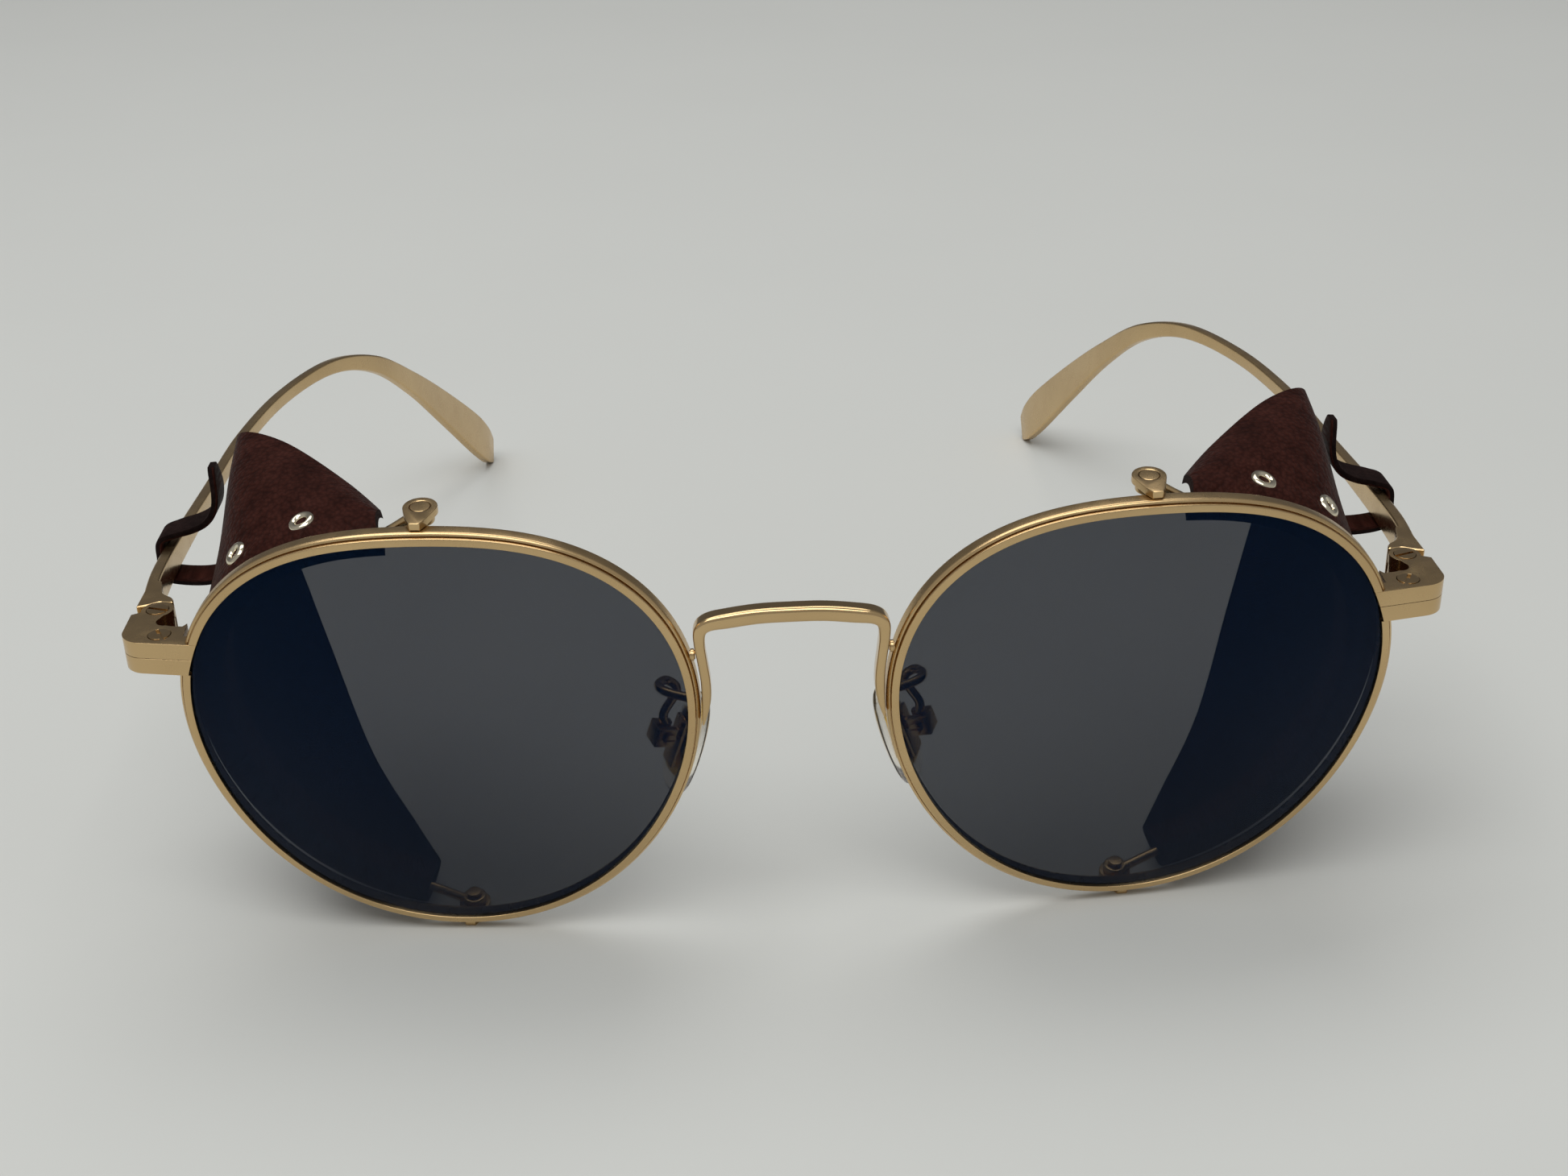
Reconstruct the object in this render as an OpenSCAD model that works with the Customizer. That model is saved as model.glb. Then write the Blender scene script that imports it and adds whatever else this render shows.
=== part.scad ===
// Glacier glasses: round wire frame, tinted lenses and leather side shields.
// Millimetres. X to the wearer's left side as seen from the front, Y back along
// the temples, Z up. The glasses stand on their lower lugs and temple tips.
// Pieces are written for the +X side; the other side is their mirror image.

/* [Front] */
// Distance from the middle of the bridge to each lens centre
lens_x = 34.8; // [32:0.1:42]
// Mean radius of the lens opening
lens_r = 23.75; // [20:0.05:28.5]
// Angle at which each lens turns back towards the temple
wrap_angle = 4.4; // [0:0.2:8]
// Angle at which the top of the front leans forward
lean_angle = 5.6; // [0:0.2:10]
// Radius of the lens surface curve
lens_curve_r = 130; // [100:1:260]
// Radial thickness of the rim wire
rim_wall = 1.2; // [1:0.05:2]
// Depth of the rim wire, front to back
rim_depth = 1.95; // [1.9:0.05:3]
// Thickness of the lens
lens_t = 1.4; // [1.2:0.1:1.9]

/* [Bridge] */
// Height of the bridge bar above the lens centres
bridge_rise = 13.6; // [10:0.1:17]
// Half the distance between the middles of the bridge legs
bridge_half = 8.85; // [7:0.05:10]
// Height of the bridge bar
bridge_bar = 1.6; // [1.2:0.1:2.4]
// Depth of the bridge, front to back
bridge_depth = 2; // [1.4:0.1:2.6]

/* [Hinge] */
// Height of the end piece, both halves together
hinge_h = 3.4; // [3:0.1:5]
// Height of the parting line above the lens centres
split_rise = 9.2; // [6:0.1:11]
// Width of the end piece from the lens opening to its outer face
end_w = 7.4; // [6.6:0.1:9]
// Distance from the front of the end piece back to the hinge screw
hinge_back = 8; // [7:0.1:10]
// Radius of the hinge knuckles
knuckle_r = 1.6; // [1.45:0.05:1.9]
// Radius of the hinge screw shank
hinge_pin_r = 0.7; // [0.5:0.05:0.9]

/* [Temples] */
// Distance from the hinge screw back to the temple tip
temple_len = 119; // [100:1:140]
// How far the tip lies inside the hinge screw
tip_in = 21.5; // [12:0.5:26]
// How far the tip drops below the hinge
tip_drop = 34.7; // [26:0.1:38]
// Thickness of the temple bar
temple_t = 1.25; // [1:0.05:1.8]
// Width of the flat paddle at the tip
paddle_w = 6.4; // [4:0.1:8]

/* [Shields] */
// Radius of the wire that carries the leather
ring_wire_r = 0.5; // [0.4:0.05:0.8]
// Thickness of the leather
leather_t = 0.9; // [0.7:0.05:1.2]
// Clear gap between the rim and the leather
shield_gap = 0.4; // [0.3:0.05:0.8]
// How far the fold of leather reaches behind the wire
fold_len = 4.4; // [4:0.1:6]
// Number of eyelets in each shield
eyelets = 8; // [5:1:9]
// Outer radius of an eyelet
eyelet_r = 1.15; // [0.9:0.05:1.3]
// Width of the strap
strap_w = 4; // [3:0.1:6]

/* [Nose pads] */
// Length of a nose pad
pad_len = 11.5; // [10:0.5:15]
// Width of a nose pad
pad_w = 5.8; // [5:0.2:7.4]
// Thickness of a nose pad
pad_t = 2.3; // [1.8:0.1:3]
// Radius of the pad arm wire
arm_r = 0.5; // [0.4:0.05:0.7]

/* [Hidden] */

gold = "#c9ae78";
lens_grey = "#3b4046";
leather_brown = "#4a2420";
clear_pad = "#e8e4d2";

seg = 84;            // steps round a rim
fit = 0.04;          // running clearance on a pin
seat = 0.06;         // clearance between parts that seat on each other
lens_bevel = 0.42;   // how far the lens edge enters the groove
lug_t = 0.8;         // thickness of a lug plate
lug_r = 1.65;        // radius of a lug's round end
lug_pin_r = 0.55;    // radius of a shield pin
lug_front = 0.6;     // depth at which a lug starts

// ---- The rim's own frame: u sideways, v up, w back from the front face ----

function rim_r(a) = lens_r + 0.65 * cos(2 * a) - 0.15 * sin(2 * a) + 0.93 * sin(3 * a) - 0.22 * cos(4 * a);

low_edge = rim_r(-90) + rim_wall + lug_t;
lens_z = low_edge * cos(lean_angle) - (lug_front + sag(0, low_edge)) * sin(lean_angle) - 0.15;

function sag(u, v) = (u * u + v * v) / (2 * lens_curve_r);
function lean(p) = [p[0], p[1] * cos(lean_angle) - p[2] * sin(lean_angle), p[1] * sin(lean_angle) + p[2] * cos(lean_angle)];
function turn(p) = [p[0] * cos(wrap_angle) - p[1] * sin(wrap_angle), p[0] * sin(wrap_angle) + p[1] * cos(wrap_angle), p[2]];
function place(u, v, w) = lean(turn([u, w + sag(u, v), v])) + [lens_x, 0, lens_z];
function on_rim(a, q, w) = place((rim_r(a) + q) * cos(a), (rim_r(a) + q) * sin(a), w);

// The same frame for exact shapes: children are drawn with x = u, y = w, z = v.
module in_rim(u, v, w) {
    translate([lens_x, 0, lens_z]) rotate([lean_angle, 0, 0]) rotate([0, 0, wrap_angle])
        translate([u, w + sag(u, v), v]) children();
}

// ---- Helpers ----

// A closed solid through a list of rings of points, open-ended or joined up.
module skin(rings, loop = false) {
    n = len(rings[0]);
    m = len(rings);
    sides = [
        for (i = [0 : m - (loop ? 1 : 2)], j = [0 : n - 1])
            let (k = (i + 1) % m, l = (j + 1) % n)
            each [[i * n + j, k * n + j, k * n + l], [i * n + j, k * n + l, i * n + l]]
    ];
    caps = loop ? [] : [[for (j = [0 : n - 1]) j], [for (j = [n - 1 : -1 : 0]) (m - 1) * n + j]];
    polyhedron(points = [for (r = rings) each r], faces = concat(sides, caps), convexity = 8);
}

// A point on a smooth curve through all the points of a list, t from 0 to len-1.
function curve(p, t) =
    let (n = len(p) - 1, i = min(floor(t), n - 1), f = t - i,
        a = p[max(i - 1, 0)], b = p[i], c = p[i + 1], d = p[min(i + 2, n)])
    0.5 * (2 * b + (c - a) * f + (2 * a - 5 * b + 4 * c - d) * f * f + (3 * b - a - 3 * c + d) * f * f * f);

function unit(v) = v / norm(v);

// Rings of a round wire along a list of points.
function wire_rings(p, r, sides = 12) = [
    for (i = [0 : len(p) - 1])
        let (t = unit(p[min(i + 1, len(p) - 1)] - p[max(i - 1, 0)]),
            s = unit(cross(t, abs(t[1]) > 0.9 ? [1, 0, 0] : [0, 1, 0])),
            o = cross(t, s))
        [for (j = [0 : sides - 1]) p[i] + r * (s * cos(j * 360 / sides) + o * sin(j * 360 / sides))]
];

// A drop-shaped outline: a round end at the origin and a narrow nose towards -y.
function drop_outline(r, nose_y, nose_half) = concat(
    [for (a = [-20 : 10 : 200]) [r * cos(a), r * sin(a)]],
    [[-nose_half, nose_y + nose_half], [-nose_half * 0.5, nose_y], [nose_half * 0.5, nose_y], [nose_half, nose_y + nose_half]]
);

// A slotted screw standing on +Z: shank below the origin, head above it.
module screw(shank_r, shank_len, head_r, head_h, slot_w = 0.35) {
    difference() {
        union() {
            translate([0, 0, -shank_len]) cylinder(r = shank_r, h = shank_len + head_h / 2, $fn = 32);
            cylinder(r = head_r, h = head_h, $fn = 40);
        }
        translate([-head_r - 1, -slot_w / 2, head_h * 0.45]) cube([2 * head_r + 2, slot_w, head_h]);
    }
}

// The whole pair is centred on its length, front to back
module right_side() {
    translate([0, -middle_y, 0]) children();
}

module left_side() {
    translate([0, -middle_y, 0]) mirror([1, 0, 0]) children();
}

// ---- Rims and lenses ----

split_z = lens_z + split_rise;
split_a = asin(split_rise / rim_r(20));
split_slit = 1;      // half angle left open behind the end piece, where the rim closes
groove_w = 1.05;     // depth of the lens groove
block_gap = 0.03;    // seam between the rim's ends and the end piece

rim_profile = [
    [0, 0.1], [0.12, 0], [rim_wall - 0.45, 0], [rim_wall - 0.35, 0.1], [rim_wall - 0.35, 0.5], [rim_wall, 0.68],
    [rim_wall, rim_depth - 0.3], [rim_wall - 0.25, rim_depth], [0.15, rim_depth], [0, rim_depth - 0.15],
    [0, groove_w + lens_bevel + 0.06], [lens_bevel + 0.08, groove_w], [0, groove_w - lens_bevel - 0.06]
];

module rim() {
    sweep = 360 - 2 * split_slit;
    color(gold) difference() {
        skin([for (i = [0 : seg]) [for (p = rim_profile) on_rim(split_a + split_slit + sweep * i / seg, p[0], p[1])]]);
        translate([lens_x, -20, split_z - hinge_h / 2 - block_gap]) cube([60, 60, hinge_h + 2 * block_gap]);
    }
}

module lens() {
    front_w = 0.3;
    mid_w = groove_w;
    back_w = front_w + lens_t;
    edge = -seat;
    profile = [
        [0.02, front_w], [0.35, front_w], [0.7, front_w], [1, front_w],
        [1, mid_w - lens_bevel], [2, mid_w], [1, mid_w + lens_bevel],
        [1, back_w], [0.7, back_w], [0.35, back_w], [0.02, back_w]
    ];
    color(lens_grey)
        skin([
            for (p = profile) [
                for (i = [seg - 1 : -1 : 0])
                    let (a = i * 360 / seg, r = p[0] > 1 ? rim_r(a) + lens_bevel : (rim_r(a) + edge) * p[0])
                    place(r * cos(a), r * sin(a), p[1])
            ]
        ]);
}

// ---- Bridge ----

// Depth of the bridge bar's middle at a height above the lens centres
function bridge_y(rise) = 0.95 - rise * sin(lean_angle);

nasal_x = lens_x - rim_r(172) - rim_wall;   // where the rims come closest to the nose

leg = 0.48;      // half the width of a bridge leg

// Middle of the right leg, from the foot at the rim up to the corner, then half of the bar:
// sideways place, height, half width
bridge_half_path = [
    [nasal_x - 0.4, 2.7, 0.3],
    [nasal_x - 0.5, 3.7, 0.4],
    [nasal_x - 0.58, 5, leg],
    [nasal_x - 0.55, 6.6, leg],
    [bridge_half - 0.2, 8.6, leg],
    [bridge_half, 10.6, leg + 0.05],
    [bridge_half - 0.12, bridge_rise - 1.5, leg + 0.15],
    [bridge_half - 0.95, bridge_rise - 0.75, bridge_bar / 2 - 0.1],
    [bridge_half - 2.8, bridge_rise - 0.42, bridge_bar / 2],
    [bridge_half * 0.35, bridge_rise - 0.06, bridge_bar / 2]
];

function mirrored(p) = [for (i = [len(p) - 1 : -1 : 0]) [-p[i][0], p[i][1], p[i][2]]];

module bridge() {
    path = concat(bridge_half_path, [[0, bridge_rise, bridge_bar / 2]], mirrored(bridge_half_path));
    steps = 3 * (len(path) - 1);
    depth = bridge_depth / 2;
    soft = 0.25;
    spots = [for (i = [0 : steps]) curve(path, i / 3)];
    color(gold)
        skin([
            for (i = [0 : steps])
                let (c = spots[i],
                    d = spots[min(i + 1, steps)] - spots[max(i - 1, 0)],
                    t = unit([d[0], d[1]]), s = [-t[1], t[0]], h = c[2])
                [for (q = [
                    [-h, depth - soft], [-h + soft, depth], [h - soft, depth], [h, depth - soft],
                    [h, -depth + soft], [h - soft, -depth], [-h + soft, -depth], [-h, -depth + soft]
                ]) [c[0] + s[0] * q[0], bridge_y(c[1]) + q[1], lens_z + c[1] + s[1] * q[0]]]
        ]);
}

strut_rise = 9.2;   // height of the struts above the lens centres

module bridge_strut() {
    a = 180 - asin(strut_rise / rim_r(158));
    far = lens_x + rim_r(a) * cos(a) - rim_wall - 0.34;
    near = bridge_half + 0.45;
    color(gold) translate([near, bridge_y(strut_rise), lens_z + strut_rise]) rotate([0, 90, 0])
        union() {
            cylinder(r = 0.45, h = far - near, $fn = 32);
            translate([0, 0, (far - near) * 0.2]) cylinder(r = 0.6, h = (far - near) * 0.6, $fn = 32);
        }
}

module bridge_struts() {
    bridge_strut();
    mirror([1, 0, 0]) bridge_strut();
}

// ---- End pieces and hinge ----

inner_edge = on_rim(split_a, 0, 0);               // front edge of the lens opening at the parting line
block_y = inner_edge[1];                          // front of the end piece
outer_x = inner_edge[0] + end_w;
hinge_x = outer_x - knuckle_r - 0.8;
hinge_y = block_y + hinge_back;
corner_r = 2.6;
face_turn = 11;                                   // the front face turns back by this angle
face_run = end_w - corner_r * (1 - sin(face_turn));

// Plan of one half of the end piece, before the lens opening is cut out of it.
function end_plan() = concat(
    [[inner_edge[0] - 2, block_y - 2 * tan(face_turn)]],
    [for (a = [-90 + face_turn : 8 : 0]) [
        outer_x - corner_r + corner_r * cos(a),
        block_y + face_run * tan(face_turn) + corner_r * (cos(face_turn) + sin(a))
    ]],
    [[outer_x, hinge_y - 0.95], [hinge_x + knuckle_r - 0.05, hinge_y - 0.5], [hinge_x, hinge_y], [hinge_x - 0.9, hinge_y - 1.3]],
    [for (a = [40 : -20 : -100]) [hinge_x - 1.4 + 0.95 * cos(a), hinge_y - 2.6 + 0.95 * sin(a)]],
    [[hinge_x - 2.2, hinge_y - 3.75], [hinge_x - 3.3, hinge_y - 3.9], [inner_edge[0] + 1.35, hinge_y - 3.3]],
    [[inner_edge[0] + 1.25, block_y + rim_depth + 0.1], [inner_edge[0] - 2, block_y + rim_depth - 0.1]]
);

// Space that the lens and its groove take out of the end piece, turned about the lens axis.
module lens_room() {
    r = rim_r(split_a) + 0.07;
    w = sag(0, r) + groove_w;
    deep = lens_bevel + 0.06;
    in_rim(0, 0, 0) rotate([-90, 0, 0]) rotate_extrude($fn = 180)
        polygon([[0, -30], [r, -30], [r, w - deep], [r + deep, w], [r, w + deep], [r, 30], [0, 30]]);
}

leaf_h = (hinge_h - 1.4) / 2;   // each half keeps this much at the knuckle

module end_half(z0, z1, leaf_z0, leaf_z1) {
    near_knuckle = knuckle_r + 0.15;
    difference() {
        union() {
            difference() {
                translate([0, 0, z0]) linear_extrude(height = z1 - z0) polygon(end_plan());
                translate([hinge_x, hinge_y, z0 - 1]) cylinder(r = near_knuckle, h = z1 - z0 + 2, $fn = 64);
            }
            translate([0, 0, leaf_z0]) linear_extrude(height = leaf_z1 - leaf_z0) intersection() {
                polygon(end_plan());
                translate([hinge_x, hinge_y]) circle(r = near_knuckle + 0.3, $fn = 64);
            }
            translate([hinge_x, hinge_y, leaf_z0]) cylinder(r = knuckle_r, h = leaf_z1 - leaf_z0, $fn = 64);
        }
        lens_room();
        translate([closing_x, closing_y, z0 - 1]) cylinder(r = closing_pin_r + fit, h = z1 - z0 + 2, $fn = 32);
        translate([hinge_x, hinge_y, z0 - 1]) cylinder(r = hinge_pin_r + fit, h = z1 - z0 + 2, $fn = 32);
    }
}

closing_pin_r = 0.55;
closing_x = inner_edge[0] + 3.6;
closing_y = block_y + 2.6;
screw_head_r = 1.08;
head_sink = 0.42;   // depth of the countersunk seat of a screw head

module end_piece_upper() {
    z0 = split_z + 0.02;
    z1 = split_z + hinge_h / 2;
    color(gold) difference() {
        end_half(z0, z1, z1 - leaf_h, z1);
        translate([closing_x, closing_y, z1 - head_sink]) cylinder(r = screw_head_r + seat, h = 1, $fn = 48);
        translate([hinge_x, hinge_y, z1 - head_sink]) cylinder(r = screw_head_r + seat, h = 1, $fn = 48);
    }
}

module end_piece_lower() {
    z0 = split_z - hinge_h / 2;
    color(gold) end_half(z0, split_z - 0.02, z0, z0 + leaf_h);
}

module closing_screw() {
    color(gold) translate([closing_x, closing_y, split_z + hinge_h / 2 - head_sink + 0.02]) rotate([0, 0, 65])
        screw(closing_pin_r, hinge_h - head_sink, screw_head_r, 0.45);
}

module hinge_screw() {
    color(gold) translate([hinge_x, hinge_y, split_z + hinge_h / 2 - head_sink + 0.02]) rotate([0, 0, 20])
        screw(hinge_pin_r, hinge_h - head_sink, screw_head_r, 0.45);
}

// ---- Temple ----

// Stations along the bar: share of the length, outward bow, drop share, half height
bar_in = outer_x - hinge_x - temple_t / 2 - 0.05;   // the bar is flush with the end piece
temple_stations = [
    [0.018, 0, 0, hinge_h / 2 - 0.05],
    [0.08, 0.5, 0, 1.6],
    [0.16, 0.65, 0.008, 1.32],
    [0.28, 0.3, 0.016, 1.02],
    [0.41, -0.4, 0.018, 0.9],
    [0.53, -2.8, 0.02, 0.86],
    [0.635, -6.9, 0.045, 0.95],
    [0.72, -10.8, 0.15, 1.2],
    [0.8, -14, 0.34, 1.7],
    [0.88, -16.9, 0.565, 2.55],
    [0.95, -19.8, 0.785, paddle_w / 2],
    [0.98, -21, 0.885, paddle_w * 0.47],
    [1, -21.5, 0.95, paddle_w * 0.3]
];

// The far end lies tip_in inside the hinge; the bow near the front is the same for any tip
function temple_spot(s) = [
    hinge_x + bar_in + (s[1] < 0 ? s[1] * tip_in / 21.5 : s[1]),
    hinge_y + s[0] * temple_len,
    split_z - s[2] * tip_drop,
    s[3]
];

module temple_bar() {
    spots = [for (s = temple_stations) temple_spot(s)];
    steps = 3 * (len(spots) - 1);
    p = [for (i = [0 : steps]) curve(spots, i / 3)];
    half_t = temple_t / 2;
    skin([
        for (i = [0 : steps])
            let (d = p[min(i + 2, steps)] - p[max(i - 2, 0)],
                t = unit([d[1], d[2]]), up = [0, -t[1], t[0]], h = p[i][3], c = [p[i][0], p[i][1], p[i][2]],
                e = min(0.35, h * 0.6), g = half_t - 0.25)
            [for (q = [[g, h], [half_t, h - e], [half_t, e - h], [g, -h], [-g, -h], [-half_t, e - h], [-half_t, h - e], [-g, h]])
                c + [q[0], 0, 0] + up * q[1]]
    ]);
}

// Plan of the flared front end of the temple
function temple_heel() = [
    [outer_x, hinge_y - 0.6], [outer_x, hinge_y + 3], [outer_x - 0.1, hinge_y + 6], [outer_x - temple_t, hinge_y + 5.6],
    [hinge_x + 0.35, hinge_y + 3.6], [hinge_x - 1, hinge_y + 2.3], [hinge_x - 1.5, hinge_y + 1.15], [hinge_x, hinge_y]
];

module temple() {
    barrel_h = 1.4 - 2 * seat;
    heel_h = hinge_h - 0.1;
    color(gold) difference() {
        union() {
            difference() {
                union() {
                    temple_bar();
                    translate([0, 0, split_z - heel_h / 2]) linear_extrude(height = heel_h) polygon(temple_heel());
                }
                translate([hinge_x, hinge_y, split_z - 4]) cylinder(r = knuckle_r + 0.15, h = 8, $fn = 64);
            }
            translate([hinge_x, hinge_y, split_z - barrel_h / 2]) cylinder(r = knuckle_r - 0.1, h = barrel_h, $fn = 64);
            translate([hinge_x - 0.7, hinge_y, split_z - barrel_h / 2]) cube([1.9, knuckle_r + 0.7, barrel_h]);
        }
        translate([hinge_x, hinge_y, split_z - 4]) cylinder(r = hinge_pin_r + fit, h = 8, $fn = 32);
        translate([0, hinge_y + temple_len / 2, -10]) cube([100, temple_len, 10]);
    }
}

// ---- Lugs, pins and ring of the side shield ----

ring_w = rim_depth + shield_gap + leather_t + ring_wire_r + 0.1;   // depth of the wire's middle
eye_r = 1.25;
eye_t = 0.8;
eye_gap = 0.08;

// Height of the rim's outer face above or below the lens centre
top_v = rim_r(90) + rim_wall;
bottom_v = rim_r(-90) + rim_wall;

// A plate at height v, drawn on its inner face, with its hole at the ring's depth.
module lug_plate(thick) {
    difference() {
        linear_extrude(height = thick) polygon(drop_outline(lug_r, lug_front - ring_w, 1));
        translate([0, 0, -1]) cylinder(r = lug_pin_r + fit, h = thick + 2, $fn = 32);
    }
}

module top_lug() {
    color(gold) in_rim(0, 0, 0) translate([0, ring_w + sag(0, top_v), top_v + 0.05]) difference() {
        lug_plate(lug_t);
        translate([0, 0, lug_t - 0.3]) cylinder(r = 0.95 + seat, h = 1, $fn = 40);
    }
}

module bottom_lug() {
    color(gold) intersection() {
        in_rim(0, 0, 0) translate([0, ring_w + sag(0, bottom_v), -bottom_v - 0.05]) mirror([0, 0, 1]) lug_plate(lug_t);
        translate([0, -20, 0]) cube([80, 60, 20]);
    }
}

module shield_pins() {
    color(gold) {
        in_rim(0, 0, 0) translate([0, ring_w + sag(0, top_v), top_v + 0.05 + lug_t - 0.28]) union() {
            translate([0, 0, -lug_t - eye_t - 0.4]) cylinder(r = lug_pin_r, h = lug_t + eye_t + 0.5, $fn = 32);
            cylinder(r = 0.95, h = 0.26, $fn = 40);
        }
        in_rim(0, 0, 0) translate([0, ring_w + sag(0, bottom_v), -bottom_v - 0.05]) union() {
            translate([0, 0, -0.12]) cylinder(r = lug_pin_r, h = eye_t + 0.6, $fn = 32);
            translate([0, 0, 2 * eye_gap + eye_t + 0.08]) cylinder(r = 0.75, h = 0.35, $fn = 40);
        }
    }
}

// Height of an eye's middle: just inside its lug plate
top_eye_v = top_v + 0.05 - eye_gap - eye_t / 2;
bottom_eye_v = -bottom_v - 0.05 + eye_gap + eye_t / 2;

module ring_eye(v, lug_v) {
    in_rim(0, 0, 0) translate([0, ring_w + sag(0, lug_v), v - eye_t / 2]) difference() {
        cylinder(r = eye_r, h = eye_t, $fn = 48);
        translate([0, 0, -1]) cylinder(r = lug_pin_r + fit, h = eye_t + 2, $fn = 32);
    }
}

module shield_ring() {
    run = [for (i = [0 : 3 * last_edge]) fold_middle(ring_ends[0] + i * (ring_ends[1] - ring_ends[0]) / (3 * last_edge))];
    top_end = place(1.08, top_eye_v, ring_w);
    bottom_end = place(1.08, bottom_eye_v, ring_w);
    color(gold) {
        skin(wire_rings(concat([top_end], run, [bottom_end]), ring_wire_r, 10));
        ring_eye(top_eye_v, top_v);
        ring_eye(bottom_eye_v, bottom_v);
    }
}

// ---- Leather ----

// Rear edge of the leather from beside the top lug down to beside the bottom lug,
// measured from the lens centre
rear_edge = [
    [2.6, 6.9, 21.1], [8.1, 14.5, 22.4], [16.2, 24.7, 22.9], [22.3, 31.3, 21.1], [22.4, 34, 14.7],
    [20.5, 35.4, 7.6], [17.2, 32.8, -4.6], [12.2, 25, -15.4], [6.5, 17.8, -21.2], [2.6, 12.2, -23.6]
];
edge_angles = [84, 71, 56, 44, 33, 20, -8, -38, -64, -84];
last_edge = len(rear_edge) - 1;
leather_front = rim_depth + shield_gap;
leather_q = 0.5;      // its outer face against the lens opening
fold_gap = 2 * ring_wire_r + 0.2;           // hollow of the folded edge
fold_in = 2 * leather_t + fold_gap;         // full thickness of the folded edge

function edge_spot(k) = let (e = curve(rear_edge, k)) [lens_x + e[0], e[1], lens_z + e[2]];

// A point on the outer face: k along the edge, d back from the front edge in mm, n inwards
function skin_spot(k, d, n) =
    let (a = curve(edge_angles, k), front = on_rim(a, leather_q, leather_front), rear = edge_spot(k),
        length = norm(rear - front), s = d / length,
        bulge = 0.9 * sin(180 * min(s, 1)),
        inward = turn([-cos(a), 0, -sin(a)]))
    front + (rear - front) * s + inward * (n - bulge);
function edge_length(k) = norm(edge_spot(k) - on_rim(curve(edge_angles, k), leather_q, leather_front));

// Middle of the hollow in the folded front edge, where the ring's wire runs
function fold_middle(k) = skin_spot(k, leather_t + fold_gap * 0.65, leather_t + fold_gap / 2);

ring_ends = [0.35, last_edge - 0.3];             // stations where the wire leaves the fold for its eyes
leather_ends = [ring_ends[0] + 0.05, ring_ends[1] - 0.05];

module shield_leather() {
    steps = 3 * last_edge;
    color(leather_brown)
        skin([
            for (i = [steps : -1 : 0])
                let (k = leather_ends[0] + i * (leather_ends[1] - leather_ends[0]) / steps, full = edge_length(k))
                concat(
                    [for (s = [0, 0.06, 0.2, 0.4, 0.6, 0.8, 1]) skin_spot(k, full * s, 0)],
                    [for (s = [1, 0.8, 0.6, 0.4, 0.2]) skin_spot(k, max(full * s, leather_t * 1.5), leather_t)],
                    [skin_spot(k, leather_t, leather_t), skin_spot(k, leather_t, leather_t + fold_gap)],
                    [skin_spot(k, fold_len, leather_t + fold_gap), skin_spot(k, fold_len, fold_in)],
                    [skin_spot(k, 0.3, fold_in), skin_spot(k, 0, fold_in - 0.3)]
                )
        ]);
}

// Eyelets stand in a row behind the folded edge
eyelet_back = fold_len - 1.3;
eyelet_from = 62;
eyelet_to = -64;

function edge_at(a, lo = 0, hi = last_edge, n = 0) =
    n > 16 ? (lo + hi) / 2 :
    let (mid = (lo + hi) / 2)
    curve(edge_angles, mid) > a ? edge_at(a, mid, hi, n + 1) : edge_at(a, lo, mid, n + 1);

module eyelet_at(k) {
    spot = skin_spot(k, eyelet_back, 0);
    along = unit(skin_spot(k + 0.02, eyelet_back, 0) - skin_spot(k - 0.02, eyelet_back, 0));
    back = unit(skin_spot(k, eyelet_back + 0.4, 0) - skin_spot(k, eyelet_back - 0.4, 0));
    out = unit(cross(along, back));
    tilt = acos(out[2]);
    around = atan2(out[1], out[0]);
    translate(spot + 0.05 * out) rotate([0, tilt, around]) difference() {
        cylinder(r = eyelet_r, h = 0.35, $fn = 40);
        translate([0, 0, -1]) cylinder(r = eyelet_r * 0.5, h = 3, $fn = 32);
    }
}

module shield_eyelets() {
    color(gold)
        for (i = [0 : eyelets - 1])
            eyelet_at(edge_at(eyelet_from + (eyelet_to - eyelet_from) * i / (eyelets - 1)));
}

// Strap round the temple, drawn as a band in the plane across the temple bar
strap_back = 16.5;   // distance behind the hinge screw
strap_t = 0.7;
strap_clear = 0.16;
bar_bow = 0.6;       // the bar stands out by this much here
bar_half = 1.52;     // half height of the bar here
beside = temple_t / 2 + strap_clear + strap_t / 2;
above = bar_half + strap_clear + strap_t / 2;
strap_path = [
    [-7.4, -0.8], [-6.2, -1.4], [-3.6, -above - 0.1], [-0.4, -above - 0.05], [beside - 0.1, -above + 0.4], [beside, 0],
    [beside - 0.1, above - 0.4], [-0.4, above + 0.05], [-2.6, above + 0.35], [-4.6, above + 0.9], [-6.2, above + 2.1],
    [-6.9, above + 4], [-7, above + 6.6]
];

module shield_strap() {
    steps = 4 * (len(strap_path) - 1);
    mid = [for (i = [0 : steps]) curve(strap_path, i / 4)];
    side = [
        for (i = [0 : steps])
            let (d = mid[min(i + 1, steps)] - mid[max(i - 1, 0)], t = unit(d))
            [-t[1], t[0]] * strap_t / 2
    ];
    outline = concat([for (i = [0 : steps]) mid[i] + side[i]], [for (i = [steps : -1 : 0]) mid[i] - side[i]]);
    color(leather_brown)
        translate([hinge_x + bar_in + bar_bow, hinge_y + strap_back + strap_w / 2, split_z])
            rotate([90, 0, 0]) linear_extrude(height = strap_w) polygon(outline);
}

// ---- Nose pads ----

pad_mid = [lens_x - 24, 7.4, lens_z - 5];        // middle of a pad
pad_splay = 24;                                      // turn about the upright axis
pad_slope = 19.5;                                      // lower end leans outwards
box_at = [2.9, 0, 1.1];                              // box against the pad's middle, in the pad's frame

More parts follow.
